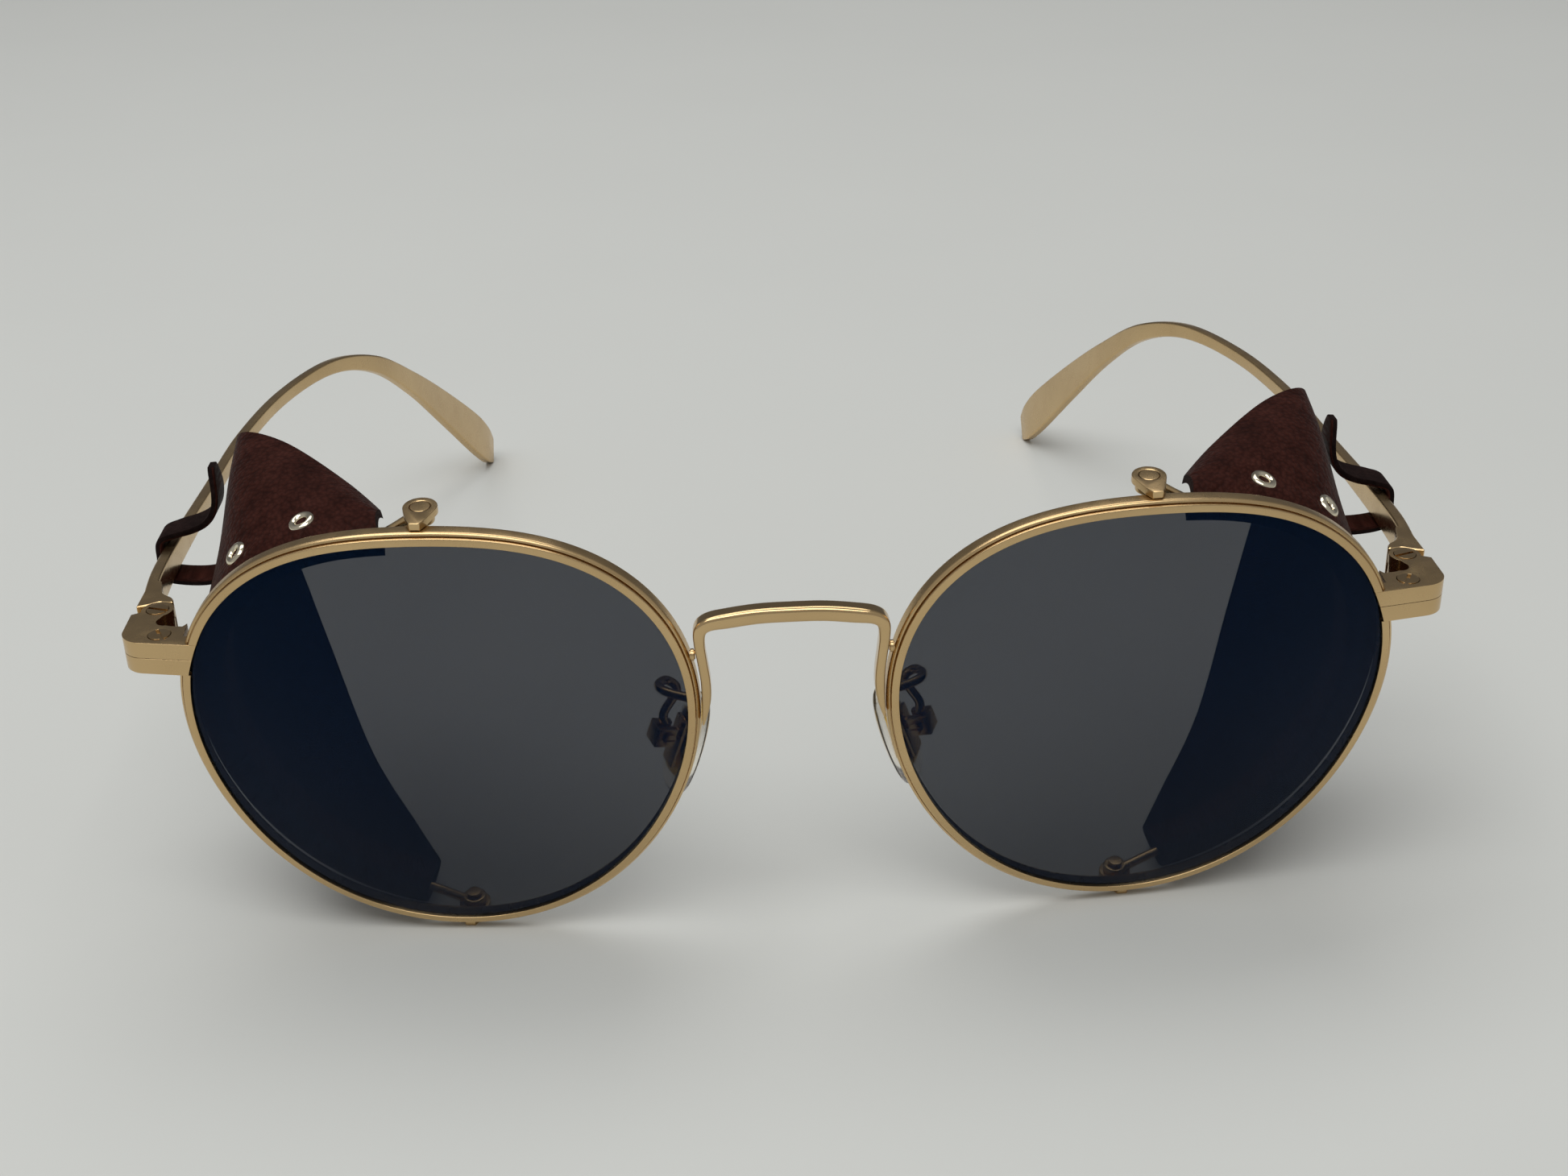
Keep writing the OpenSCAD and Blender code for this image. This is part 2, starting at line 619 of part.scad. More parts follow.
// A point given in the pad's frame
function pad_point(p) =
    let (x = p[0] * cos(pad_splay) + p[1] * sin(pad_splay), y = p[1] * cos(pad_splay) - p[0] * sin(pad_splay))
    pad_mid + [x * cos(pad_slope) - p[2] * sin(pad_slope), y, x * sin(pad_slope) + p[2] * cos(pad_slope)];

module in_pad() {
    translate(pad_mid) rotate([0, -pad_slope, 0]) rotate([0, 0, -pad_splay]) children();
}

module nose_pad() {
    rings = 10;
    around = 20;
    color(clear_pad) in_pad() skin([
        for (i = [0 : rings])
            let (t = -88 + 176 * i / rings, h = sin(t) * pad_len / 2, c = pow(cos(t), 0.6))
            [for (j = [0 : around - 1]) let (b = j * 360 / around)
                [c * cos(b) * pad_t / 2, c * sin(b) * pad_w / 2 * (1 - 0.12 * sin(t)), h]]
    ]);
}

insert_t = 0.35;
insert_x = pad_t / 2 + 0.03;
lug_hole_r = 0.35;

module pad_insert() {
    color(gold) in_pad() {
        translate([insert_x, 0, box_at[2]]) difference() {
            union() {
                translate([0, -1.1, -3.6]) cube([insert_t, 2.2, 5.4]);
                translate([0, -0.35, -0.6]) cube([box_at[0] - insert_x, 0.7, 1.2]);
                translate([box_at[0] - insert_x, 0.35, 0]) rotate([90, 0, 0]) cylinder(r = 0.6, h = 0.7, $fn = 40);
            }
            translate([box_at[0] - insert_x, 2, 0]) rotate([90, 0, 0]) cylinder(r = lug_hole_r + fit, h = 4, $fn = 32);
        }
    }
}

box_w = 2.2;
box_open = 0.7 + 2 * 0.12;

module pad_box() {
    color(gold) in_pad() translate(box_at) difference() {
        translate([box_back - 2.1, -box_w / 2, -1.05]) cube([2.1, box_w, 2.1]);
        translate([-2, -box_open / 2, -2]) cube([2.8, box_open, 4]);
        translate([0, 3, 0]) rotate([90, 0, 0]) cylinder(r = lug_hole_r + fit, h = 6, $fn = 32);
    }
}

module pad_screw() {
    color(gold) in_pad() translate(box_at + [0, -box_w / 2 - 0.02, 0]) rotate([90, 0, 0])
        screw(lug_hole_r, box_w + 0.1, 0.65, 0.35, 0.22);
}

// The arm's wire leaves the back of the rim, loops outwards and comes down to the box
arm_start = on_rim(174.5, 0.55, rim_depth + 0.16);
box_back = 1.35;

module pad_arm() {
    box_top = pad_point(box_at + [0.3, 0, 1.05 + 0.12]);
    loop = [0, 0, lens_z];
    path = [
        arm_start, arm_start + [0.15, 0.6, 0], loop + [11.6, 4, 2.6], loop + [12.9, 5.1, 2.6], loop + [13.2, 6.5, 2.5],
        loop + [12.4, 7.6, 2.2], loop + [11.5, 7.4, 1.2], box_top + [0.1, 0.25, 1.1], box_top
    ];
    steps = 4 * (len(path) - 1);
    color(gold) skin(wire_rings([for (i = [0 : steps]) curve(path, i / 4)], arm_r, 10));
}

// ---- Nodes ----

tip_over = 0.8;   // how far the tip's corner reaches past the length of the temple
middle_y = (bridge_y(bridge_rise) - bridge_depth / 2 + hinge_y + temple_len + tip_over) / 2;

right_side() bridge();
right_side() bridge_struts();
left_side() rim();  // rim_left
right_side() rim();  // rim_right
left_side() lens();  // lens_left
right_side() lens();  // lens_right
left_side() end_piece_upper();  // end_piece_upper_left
right_side() end_piece_upper();  // end_piece_upper_right
left_side() end_piece_lower();  // end_piece_lower_left
right_side() end_piece_lower();  // end_piece_lower_right
left_side() closing_screw();  // closing_screw_left
right_side() closing_screw();  // closing_screw_right
left_side() hinge_screw();  // hinge_screw_left
right_side() hinge_screw();  // hinge_screw_right
left_side() temple();  // temple_left
right_side() temple();  // temple_right
left_side() top_lug();  // top_lug_left
right_side() top_lug();  // top_lug_right
left_side() bottom_lug();  // bottom_lug_left
right_side() bottom_lug();  // bottom_lug_right
left_side() shield_pins();  // shield_pins_left
right_side() shield_pins();  // shield_pins_right
left_side() shield_ring();  // shield_ring_left
right_side() shield_ring();  // shield_ring_right
left_side() shield_leather();  // shield_leather_left
right_side() shield_leather();  // shield_leather_right
left_side() shield_eyelets();  // shield_eyelets_left
right_side() shield_eyelets();  // shield_eyelets_right
left_side() shield_strap();  // shield_strap_left
right_side() shield_strap();  // shield_strap_right
left_side() pad_arm();  // pad_arm_left
right_side() pad_arm();  // pad_arm_right
left_side() pad_box();  // pad_box_left
right_side() pad_box();  // pad_box_right
left_side() pad_screw();  // pad_screw_left
right_side() pad_screw();  // pad_screw_right
left_side() pad_insert();  // pad_insert_left
right_side() pad_insert();  // pad_insert_right
left_side() nose_pad();  // nose_pad_left
right_side() nose_pad();  // nose_pad_right
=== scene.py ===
import math

import bmesh
import bpy
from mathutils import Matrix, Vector


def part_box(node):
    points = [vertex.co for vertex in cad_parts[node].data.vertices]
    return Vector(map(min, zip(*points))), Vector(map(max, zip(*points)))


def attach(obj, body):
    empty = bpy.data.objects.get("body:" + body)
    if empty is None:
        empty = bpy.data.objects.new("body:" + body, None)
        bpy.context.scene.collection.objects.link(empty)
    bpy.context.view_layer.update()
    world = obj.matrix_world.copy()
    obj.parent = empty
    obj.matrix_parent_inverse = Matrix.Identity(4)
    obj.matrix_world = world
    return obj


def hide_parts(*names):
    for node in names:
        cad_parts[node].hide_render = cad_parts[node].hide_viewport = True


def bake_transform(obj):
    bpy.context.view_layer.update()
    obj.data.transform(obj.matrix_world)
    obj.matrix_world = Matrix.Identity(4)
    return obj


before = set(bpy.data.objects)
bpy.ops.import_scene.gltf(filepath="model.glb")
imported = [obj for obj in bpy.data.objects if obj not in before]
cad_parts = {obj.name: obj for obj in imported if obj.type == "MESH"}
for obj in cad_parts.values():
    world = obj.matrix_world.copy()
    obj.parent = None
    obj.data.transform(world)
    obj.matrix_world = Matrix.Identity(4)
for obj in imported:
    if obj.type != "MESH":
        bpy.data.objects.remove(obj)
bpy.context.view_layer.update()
print("frame loaded:", len(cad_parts), "parts")

mm = 0.001
sides = {"right": 1, "left": -1}

# The rim's own frame, in millimetres, the same values as the solid part
front = {
    "lensX": 34.8, "lensZ": 25.2282, "middleY": 64.8351,
    "openingR": 23.75, "wrap": 4.4, "lean": 5.6, "lensCurve": 130,
    "wall": 1.2, "depth": 1.95, "splitRise": 9.2, "hingeH": 3.4,
}
hinge = {"x": 62.7352, "y": -53.5878, "z": 34.4282}


def openingRadius(a):
    t = math.radians(a)
    # a little wider than tall, with a flatter top and fuller upper corners
    return (front["openingR"] + 0.65 * math.cos(2 * t) - 0.15 * math.sin(2 * t)
            + 0.93 * math.sin(3 * t) - 0.22 * math.cos(4 * t))


def sag(u, v):
    return (u * u + v * v) / (2 * front["lensCurve"])


def turnAndLean(p):
    w, l = math.radians(front["wrap"]), math.radians(front["lean"])
    x, y, z = p[0] * math.cos(w) - p[1] * math.sin(w), p[0] * math.sin(w) + p[1] * math.cos(w), p[2]
    return Vector((x, y * math.cos(l) - z * math.sin(l), y * math.sin(l) + z * math.cos(l)))


def place(u, v, w):
    return turnAndLean((u, w + sag(u, v), v)) + Vector((front["lensX"], -front["middleY"], front["lensZ"]))


def onRim(a, q, w):
    r = openingRadius(a) + q
    return place(r * math.cos(math.radians(a)), r * math.sin(math.radians(a)), w)


# Helpers: smooth curves, rounded outlines, lofts

def curveAt(points, t):
    n = len(points) - 1
    i = min(int(t), n - 1)
    f = t - i
    a, b, c, d = points[max(i - 1, 0)], points[i], points[i + 1], points[min(i + 2, n)]
    return tuple(
        0.5 * (2 * b[k] + (c[k] - a[k]) * f + (2 * a[k] - 5 * b[k] + 4 * c[k] - d[k]) * f * f
               + (3 * b[k] - a[k] - 3 * c[k] + d[k]) * f ** 3)
        for k in range(len(b))
    )


def roundedOutline(corners, steps=4):
    # corners: (x, y, radius); each corner becomes a short arc
    out = []
    n = len(corners)
    for i, (x, y, r) in enumerate(corners):
        p = Vector((x, y))
        a = Vector(corners[i - 1][:2]) - p
        b = Vector(corners[(i + 1) % n][:2]) - p
        reach = min(r, a.length * 0.49, b.length * 0.49)
        if r <= 0:
            out.append((x, y))
            continue
        pa, pb = p + a.normalized() * reach, p + b.normalized() * reach
        for k in range(steps + 1):
            t = k / steps
            q = pa * (1 - t) ** 2 + p * 2 * t * (1 - t) + pb * t * t
            out.append((q.x, q.y))
    return out


def newObject(name, bm, side=1, smoothAngle=38):
    if side < 0:
        for v in bm.verts:
            v.co.x = -v.co.x
    bmesh.ops.recalc_face_normals(bm, faces=bm.faces)
    for face in bm.faces:
        face.smooth = True
    limit = math.radians(smoothAngle)
    for edge in bm.edges:
        edge.smooth = not (len(edge.link_faces) == 2 and edge.calc_face_angle(0) > limit)
    mesh = bpy.data.meshes.new(name)
    bm.to_mesh(mesh)
    bm.free()
    obj = bpy.data.objects.new(name, mesh)
    bpy.context.scene.collection.objects.link(obj)
    return obj


def loft(rings, loop=False, caps=True, bm=None, uvs=None):
    bm = bm or bmesh.new()
    uvLayer = bm.loops.layers.uv.verify() if uvs else None
    rows = [[bm.verts.new(Vector(p) * mm) for p in ring] for ring in rings]
    n = len(rings[0])
    m = len(rings)
    for i in range(m if loop else m - 1):
        for j in range(n):
            k, l = (i + 1) % m, (j + 1) % n
            face = bm.faces.new((rows[i][j], rows[k][j], rows[k][l], rows[i][l]))
            if uvs:
                spots = (uvs(i, j), uvs(i + 1, j), uvs(i + 1, j + 1), uvs(i, j + 1))
                for corner, spot in zip(face.loops, spots):
                    corner[uvLayer].uv = spot
    if caps and not loop:
        bm.faces.new(rows[0])
        bm.faces.new(list(reversed(rows[-1])))
    return bm


def across(points, i):
    a = Vector(points[max(i - 1, 0)])
    b = Vector(points[min(i + 1, len(points) - 1)])
    return (b - a).normalized()


def wireRings(points, radius, count):
    rings = []
    last = None
    for i, p in enumerate(points):
        t = across(points, i)
        if last is None:
            guess = Vector((1, 0, 0)) if abs(t.y) > 0.9 else Vector((0, 1, 0))
            s = t.cross(guess).normalized()
        else:
            s = (last - t * last.dot(t)).normalized()
        last = s
        o = t.cross(s)
        rings.append([
            Vector(p) + s * radius * math.cos(2 * math.pi * j / count)
            + o * radius * math.sin(2 * math.pi * j / count)
            for j in range(count)
        ])
    return rings


def basis(direction):
    n = Vector(direction).normalized()
    s = n.cross(Vector((0, 0, 1)) if abs(n.z) < 0.9 else Vector((1, 0, 0))).normalized()
    return s, n.cross(s), n


def lathe(bm, origin, direction, outline, count=40):
    # outline: (radius, height) closed; turned about direction at origin
    s, o, n = basis(direction)
    rings = []
    for i in range(count):
        t = 2 * math.pi * i / count
        out = s * math.cos(t) + o * math.sin(t)
        rings.append([Vector(origin) + out * r + n * h for r, h in outline])
    return loft(rings, loop=True, bm=bm)


# Materials

def newMaterial(name):
    mat = bpy.data.materials.new(name)
    mat.use_nodes = True
    nodes, links = mat.node_tree.nodes, mat.node_tree.links
    return mat, nodes, links, nodes["Principled BSDF"]


def addNoise(nodes, links, source, scale, detail, roughness=0.5):
    noise = nodes.new("ShaderNodeTexNoise")
    noise.inputs["Scale"].default_value = scale
    noise.inputs["Detail"].default_value = detail
    noise.inputs["Roughness"].default_value = roughness
    links.new(source, noise.inputs["Vector"])
    return noise.outputs["Fac"]


def addRamp(nodes, links, fac, stops):
    ramp = nodes.new("ShaderNodeValToRGB")
    while len(ramp.color_ramp.elements) < len(stops):
        ramp.color_ramp.elements.new(0.5)
    for element, (position, colour) in zip(ramp.color_ramp.elements, stops):
        element.position = position
        element.color = colour
    links.new(fac, ramp.inputs["Fac"])
    return ramp.outputs["Color"]


def grey(value):
    return (value, value, value, 1)


def addBump(nodes, links, height, strength, distance, before=None):
    bump = nodes.new("ShaderNodeBump")
    bump.inputs["Strength"].default_value = strength
    bump.inputs["Distance"].default_value = distance
    links.new(height, bump.inputs["Height"])
    if before:
        links.new(before, bump.inputs["Normal"])
    return bump.outputs["Normal"]


goldLook = {
    "pale": (0.64, 0.455, 0.235, 1), "deep": (0.56, 0.39, 0.195, 1),
    "smooth": 0.22, "satin": 0.30, "brush": 0.12,
}


def makeGold(name, look):
    mat, nodes, links, shader = newMaterial(name)
    place3d = nodes.new("ShaderNodeTexCoord").outputs["Object"]
    patches = addNoise(nodes, links, place3d, 90, 3)
    tone = addRamp(nodes, links, patches, [(0.3, look["deep"]), (0.7, look["pale"])])
    links.new(tone, shader.inputs["Base Color"])
    shader.inputs["Metallic"].default_value = 1.0
    clouds = addNoise(nodes, links, place3d, 420, 4, 0.55)
    gloss = addRamp(nodes, links, clouds, [(0.3, grey(look["smooth"])), (0.7, grey(look["satin"]))])
    links.new(gloss, shader.inputs["Roughness"])
    fine = addNoise(nodes, links, place3d, 9000, 2, 0.5)
    links.new(addBump(nodes, links, fine, look["brush"], 0.000002), shader.inputs["Normal"])
    return mat


satinGold = makeGold("satinGold", goldLook)
polishedGold = makeGold("polishedGold", dict(goldLook, smooth=0.12, satin=0.19, brush=0.05))
paleBrass = makeGold("paleBrass", dict(
    goldLook, pale=(0.82, 0.76, 0.60, 1), deep=(0.70, 0.62, 0.46, 1), smooth=0.10, satin=0.18, brush=0.05))
warmBrass = makeGold("warmBrass", dict(
    goldLook, pale=(0.90, 0.62, 0.20, 1), deep=(0.75, 0.48, 0.12, 1), smooth=0.15, satin=0.22))

lensLook = {
    "tint": (0.001, 0.003, 0.007, 1), "cover": 0.69, "gloss": 0.03, "reflection": (0.04, 0.19, 0.60, 1),
}


def makeLensMaterial(name, look):
    mat, nodes, links, shader = newMaterial(name)
    place3d = nodes.new("ShaderNodeTexCoord").outputs["Object"]
    cloud = addNoise(nodes, links, place3d, 40, 2)
    dark = tuple(c * 0.8 for c in look["tint"][:3]) + (1,)
    links.new(addRamp(nodes, links, cloud, [(0.2, dark), (0.8, look["tint"])]), shader.inputs["Base Color"])
    gloss = addRamp(nodes, links, cloud, [(0.2, grey(look["gloss"])), (0.8, grey(look["gloss"] + 0.02))])
    links.new(gloss, shader.inputs["Roughness"])
    shader.inputs["Alpha"].default_value = look["cover"]
    shader.inputs["IOR"].default_value = 1.45
    shader.inputs["Specular Tint"].default_value = look["reflection"]
    return mat


lensMaterial = makeLensMaterial("smokeLens", lensLook)

leatherLook = {
    "dark": (0.023, 0.0062, 0.0042, 1), "mid": (0.039, 0.0110, 0.0076, 1),
    "light": (0.058, 0.0180, 0.0128, 1),
    "grain": 1700, "pores": 5200, "depth": 0.00010, "rough": (0.42, 0.62),
}


def makeLeather(name, look, suede=False):
    mat, nodes, links, shader = newMaterial(name)
    flat = nodes.new("ShaderNodeTexCoord").outputs["UV" if not suede else "Object"]
    pebble = nodes.new("ShaderNodeTexVoronoi")
    pebble.feature = "SMOOTH_F1"
    pebble.inputs["Scale"].default_value = look["grain"]
    pebble.inputs["Smoothness"].default_value = 0.45
    warp = nodes.new("ShaderNodeVectorMath")
    warp.operation = "ADD"
    wobble = nodes.new("ShaderNodeTexNoise")
    wobble.inputs["Scale"].default_value = 900
    wobble.inputs["Detail"].default_value = 2
    links.new(flat, wobble.inputs["Vector"])
    shrink = nodes.new("ShaderNodeVectorMath")
    shrink.operation = "SCALE"
    shrink.inputs["Scale"].default_value = 0.0006
    links.new(wobble.outputs["Color"], shrink.inputs[0])
    links.new(flat, warp.inputs[0])
    links.new(shrink.outputs["Vector"], warp.inputs[1])
    links.new(warp.outputs["Vector"], pebble.inputs["Vector"])
    patches = addNoise(nodes, links, flat, 260, 4)
    fibres = addNoise(nodes, links, flat, look["pores"], 4, 0.6)
    base = addRamp(nodes, links, patches, [(0.25, look["dark"]), (0.5, look["mid"]), (0.8, look["light"])])
    # painted shade: the base colour is darkened towards the pebble edges, in the creases between pebbles
    creaseShadeStops = [(0.25, (1, 1, 1, 1)), (0.75, (0.45, 0.42, 0.42, 1))]
    creaseShade = addRamp(nodes, links, pebble.outputs["Distance"], creaseShadeStops)
    mix = nodes.new("ShaderNodeMix")
    mix.data_type = "RGBA"
    mix.blend_type = "MULTIPLY"
    mix.inputs["Factor"].default_value = 0.8
    links.new(base, mix.inputs["A"])
    links.new(creaseShade, mix.inputs["B"])
    links.new(mix.outputs["Result"], shader.inputs["Base Color"])
    low, high = look["rough"]
    dullness = addRamp(nodes, links, fibres, [(0.3, grey(low)), (0.7, grey(high))])
    links.new(dullness, shader.inputs["Roughness"])
    dome = addRamp(nodes, links, pebble.outputs["Distance"], [(0.1, grey(1)), (0.8, grey(0))])
    normal = addBump(nodes, links, fibres if suede else dome, 0.9, look["depth"])
    links.new(addBump(nodes, links, fibres, 0.35, look["depth"] * 0.5, normal), shader.inputs["Normal"])
    shader.inputs["Specular IOR Level"].default_value = 0.05 if suede else 0.035
    shader.inputs["Sheen Weight"].default_value = 0.08 if suede else 0.008
    shader.inputs["Sheen Roughness"].default_value = 0.6 if suede else 0.35
    shader.inputs["Sheen Tint"].default_value = (0.30, 0.18, 0.16, 1) if suede else (0.62, 0.56, 0.56, 1)
    return mat


leatherMaterial = makeLeather("brownLeather", leatherLook)
# the flesh side is real suede, but its near-black tone is painted shade for the inner face, rear edge and
# cut ends that lie in shadow
suedeShadeLook = dict(leatherLook, dark=(0.006, 0.0035, 0.0035, 1), mid=(0.011, 0.006, 0.0055, 1),
                 light=(0.020, 0.010, 0.009, 1),
                 depth=0.00012, rough=(0.85, 0.98))
suedeShadeMaterial = makeLeather("darkSuedeShade", suedeShadeLook, suede=True)

padLook = {"colour": (1.0, 0.975, 0.93, 1), "rough": 0.06}


def makePadMaterial(name, look):
    mat, nodes, links, shader = newMaterial(name)
    place3d = nodes.new("ShaderNodeTexCoord").outputs["Object"]
    cloud = addNoise(nodes, links, place3d, 500, 3)
    warm = tuple(c * f for c, f in zip(look["colour"][:3], (0.97, 0.93, 0.86))) + (1,)
    tone = addRamp(nodes, links, cloud, [(0.3, warm), (0.7, look["colour"])])
    links.new(tone, shader.inputs["Base Color"])
    gloss = addRamp(nodes, links, cloud, [(0.3, grey(look["rough"])), (0.7, grey(look["rough"] + 0.06))])
    links.new(gloss, shader.inputs["Roughness"])
    shader.inputs["Transmission Weight"].default_value = 1.0
    shader.inputs["IOR"].default_value = 1.41
    links.new(addBump(nodes, links, cloud, 0.15, 0.00005), shader.inputs["Normal"])
    return mat


padMaterial = makePadMaterial("clearPad", padLook)
print("materials made")

# Rims: a flat satin front band, a fine step, a rounded outer body and the lens groove

rimDetail = {
    "steps": 300, "band": 0.78, "edge": 0.10, "slot": 0.10, "slotDepth": 0.50, "bodyFront": 0.26,
    "groove": 1.05, "grooveHalf": 0.46, "grooveDeep": 0.44,
}


def makeRim(sideName, side):
    wall, depth, band = front["wall"], front["depth"], rimDetail["band"]
    edge = rimDetail["edge"]
    groove, grooveHalf = rimDetail["groove"], rimDetail["grooveHalf"]
    outline = roundedOutline([
        (0, 0, 0.12), (band, 0, edge), (band + 0.01, rimDetail["slotDepth"], 0.02),
        (band + rimDetail["slot"], rimDetail["slotDepth"], 0.02),
        (band + rimDetail["slot"] + 0.02, rimDetail["bodyFront"], 0.08),
        (wall, rimDetail["bodyFront"] + 0.16, 0.32), (wall, depth - 0.25, 0.3),
        (wall - 0.3, depth, 0.2), (0.12, depth, 0.12), (0, depth - 0.2, 0.1),
        (0, groove + grooveHalf, 0.05), (rimDetail["grooveDeep"], groove, 0.05),
        (0, groove - grooveHalf, 0.05),
    ])
    top = front["lensZ"] + front["splitRise"] + front["hingeH"] / 2 + 0.03
    bottom = front["lensZ"] + front["splitRise"] - front["hingeH"] / 2 - 0.03

    def angleAtHeight(q, w, height):
        lo, hi = 5.0, 60.0
        for _ in range(30):
            mid = (lo + hi) / 2
            if onRim(mid, q, w).z < height:
                lo = mid
            else:
                hi = mid
        return lo

    starts = [angleAtHeight(q, w, top) for q, w in outline]
    ends = [angleAtHeight(q, w, bottom) + 360 for q, w in outline]
    rings = []
    n = rimDetail["steps"]
    for i in range(n + 1):
        t = i / n
        rings.append([onRim(a + (b - a) * t, q, w) for a, b, (q, w) in zip(starts, ends, outline)])
    obj = newObject(f"rimWire_{sideName}", loft(rings), side, 40)
    obj.data.materials.append(satinGold)
    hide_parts(f"rim_{sideName}")
    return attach(obj, "front")


# Lenses: a curved disc with a bevelled edge in the groove

lensDetail = {"steps": 180, "thick": 1.4, "frontDepth": 0.3, "bevel": 0.4, "seat": 0.06}


def makeLens(sideName, side):
    w0, w1 = lensDetail["frontDepth"], lensDetail["frontDepth"] + lensDetail["thick"]
    groove = rimDetail["groove"]
    bm = bmesh.new()
    shares = [0.15, 0.3, 0.45, 0.6, 0.75, 0.87, 0.955, 1.0]
    outer = -lensDetail["seat"]
    rows = [
        [(s, outer, w0) for s in shares], [(1.0, outer + 0.02, w0 + 0.05)],
        [(1.0, outer, groove - lensDetail["bevel"])], [(1.0, lensDetail["bevel"] - 0.02, groove)],
        [(1.0, outer, groove + lensDetail["bevel"])], [(s, outer, w1) for s in reversed(shares)],
    ]
    path = [p for row in rows for p in row]
    rings = []
    for s, q, w in path:
        rings.append([
            place((openingRadius(a) + q) * s * math.cos(math.radians(a)),
                  (openingRadius(a) + q) * s * math.sin(math.radians(a)), w)
            for a in [360 * i / lensDetail["steps"] for i in range(lensDetail["steps"])]
        ])
    loft(rings, caps=False, bm=bm)
    n = lensDetail["steps"]
    for start, w in ((0, w0), (len(bm.verts) - n, w1)):
        bm.verts.ensure_lookup_table()
        ring = [bm.verts[start + j] for j in range(n)]
        middle = bm.verts.new(place(0, 0, w) * mm)
        for j in range(n):
            bm.faces.new((middle, ring[j], ring[(j + 1) % n]))
    obj = newObject(f"lensGlass_{sideName}", bm, side, 25)
    obj.data.materials.append(lensMaterial)
    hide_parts(f"lens_{sideName}")
    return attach(obj, "front")


for sideName, side in sides.items():
    makeRim(sideName, side)
    makeLens(sideName, side)
print("rims and lenses made")

# Bridge: one bent bar with slim legs that taper onto the rims

bridge = {"rise": 13.6, "half": 8.85, "bar": 1.6, "depth": 2.0, "leg": 0.48, "edge": 0.62, "steps": 10}


def bridgeDepth(rise):
    return 0.95 - rise * math.sin(math.radians(front["lean"]))


def makeBridge():
    nasal = front["lensX"] - openingRadius(172) - front["wall"]
    leg, half, rise, bar = bridge["leg"], bridge["half"], bridge["rise"], bridge["bar"]
    right = [
        (nasal - 0.12, 1.4, 0.08), (nasal - 0.28, 2.2, 0.22), (nasal - 0.5, 3.7, 0.4),
        (nasal - 0.58, 5, leg), (nasal - 0.55, 6.6, leg),
        (half - 0.2, 8.6, leg), (half, 10.6, leg + 0.05), (half - 0.12, rise - 1.5, leg + 0.15),
        (half - 0.95, rise - 0.75, bar / 2 - 0.1), (half - 2.8, rise - 0.42, bar / 2),
        (half * 0.35, rise - 0.06, bar / 2),
    ]
    path = right + [(0, rise, bar / 2)] + [(-x, z, h) for x, z, h in reversed(right)]
    count = bridge["steps"] * (len(path) - 1)
    spots = [curveAt(path, i / bridge["steps"]) for i in range(count + 1)]
    d = bridge["depth"] / 2
    rings = []
    for i, (x, z, h) in enumerate(spots):
        a, b = spots[max(i - 1, 0)], spots[min(i + 1, count)]
        t = Vector((b[0] - a[0], b[1] - a[1])).normalized()
        s = Vector((-t.y, t.x))
        soft = min(bridge["edge"], h * 0.75)
        section = roundedOutline([(-h, d, soft), (h, d, soft), (h, -d, soft), (-h, -d, soft)], 6)
        y = bridgeDepth(z) - front["middleY"]
        rings.append([(x + s.x * q, y + w, front["lensZ"] + z + s.y * q) for q, w in section])
    obj = newObject("bridgeBar", loft(rings), 1, 50)
    obj.data.materials.append(polishedGold)
    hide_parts("bridge")
    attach(obj, "front")


makeBridge()
print("bridge made")

# Temples: flared front end at the hinge, slim bar, flat paddle tip

temple = {
    "length": 119, "drop": 34.7, "thick": 1.25, "steps": 12, "edge": 0.34,
    # share of the length, outward place, share of the drop, half height
    "stations": [
        (0.03, 0, 0, 1.65), (0.08, 0.5, 0, 1.6), (0.16, 0.65, 0.008, 1.32), (0.28, 0.3, 0.016, 1.02),
        (0.41, -0.4, 0.018, 0.9), (0.53, -2.8, 0.02, 0.86), (0.635, -6.9, 0.045, 0.95),
        (0.72, -10.8, 0.15, 1.2), (0.8, -14, 0.34, 1.7),
        (0.88, -16.9, 0.565, 2.55), (0.95, -19.8, 0.785, 3.2), (0.98, -21, 0.885, 3.0),
        (0.995, -21.4, 0.935, 2.35), (1.0, -21.5, 0.95, 1.9),
    ],
}
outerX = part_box("temple_right")[1].x / mm - 0.65      # the end piece's outer face


def templeSpots():
    barIn = outerX - hinge["x"] - temple["thick"] / 2 - 0.05
    return [
        (hinge["x"] + barIn + x, hinge["y"] + s * temple["length"], hinge["z"] - drop * temple["drop"], h)
        for s, x, drop, h in temple["stations"]
    ]


